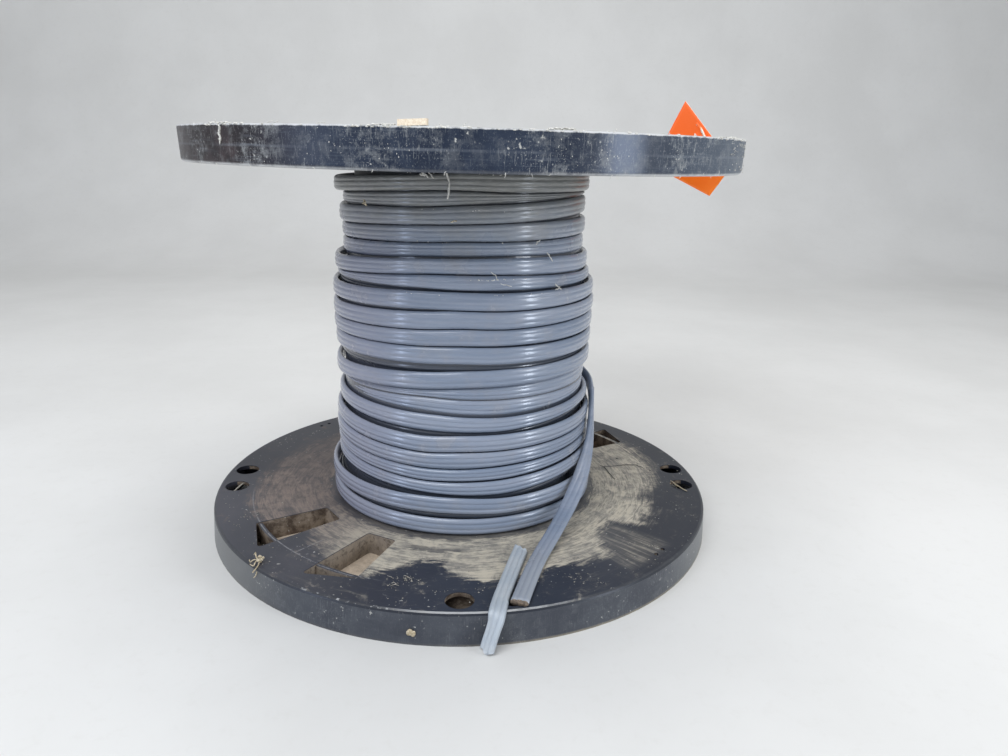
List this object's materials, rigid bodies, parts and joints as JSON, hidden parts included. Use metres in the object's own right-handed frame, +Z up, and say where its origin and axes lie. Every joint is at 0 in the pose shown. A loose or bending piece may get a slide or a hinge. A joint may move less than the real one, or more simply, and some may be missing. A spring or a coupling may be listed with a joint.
{
  "type": "plastic cable reel wound with flat cable",
  "caption": "Moulded plastic cable reel on one flange, with pockets and paired tie holes, wound with flat grey building cable whose loose end lies on the flange.",
  "frame": {"origin": "centre of the arbor bore in the plane that the lower flange stands on", "axes": "+Z up along the reel's axis; +X to the right and -Y towards the viewer as in the picture"},
  "size_m": [0.61, 0.6242, 0.5084],
  "materials": {
    "reel_plastic": "moulded, scuffed and dusty",
    "barrel_plastic": "plain",
    "cable_sheath": "satin",
    "offcut_sheath": "satin",
    "tag_sheet": "blank",
    "tie_plastic": "plain",
    "zinc_steel": "zinc plated"
  },
  "bodies": {
    "root": {"flange_lower": "reel_plastic", "flange_upper": "reel_plastic", "barrel": "barrel_plastic", "cable_winding": "cable_sheath", "cable_tail": "cable_sheath", "sheath_offcut": "offcut_sheath", "tag": "tag_sheet", "tag_tie": "tie_plastic", "tie_bolt_1": "zinc_steel", "tie_nut_1": "zinc_steel", "tie_bolt_2": "zinc_steel", "tie_nut_2": "zinc_steel", "tie_bolt_3": "zinc_steel", "tie_nut_3": "zinc_steel", "tie_bolt_4": "zinc_steel", "tie_nut_4": "zinc_steel"}
  },
  "joints": []
}
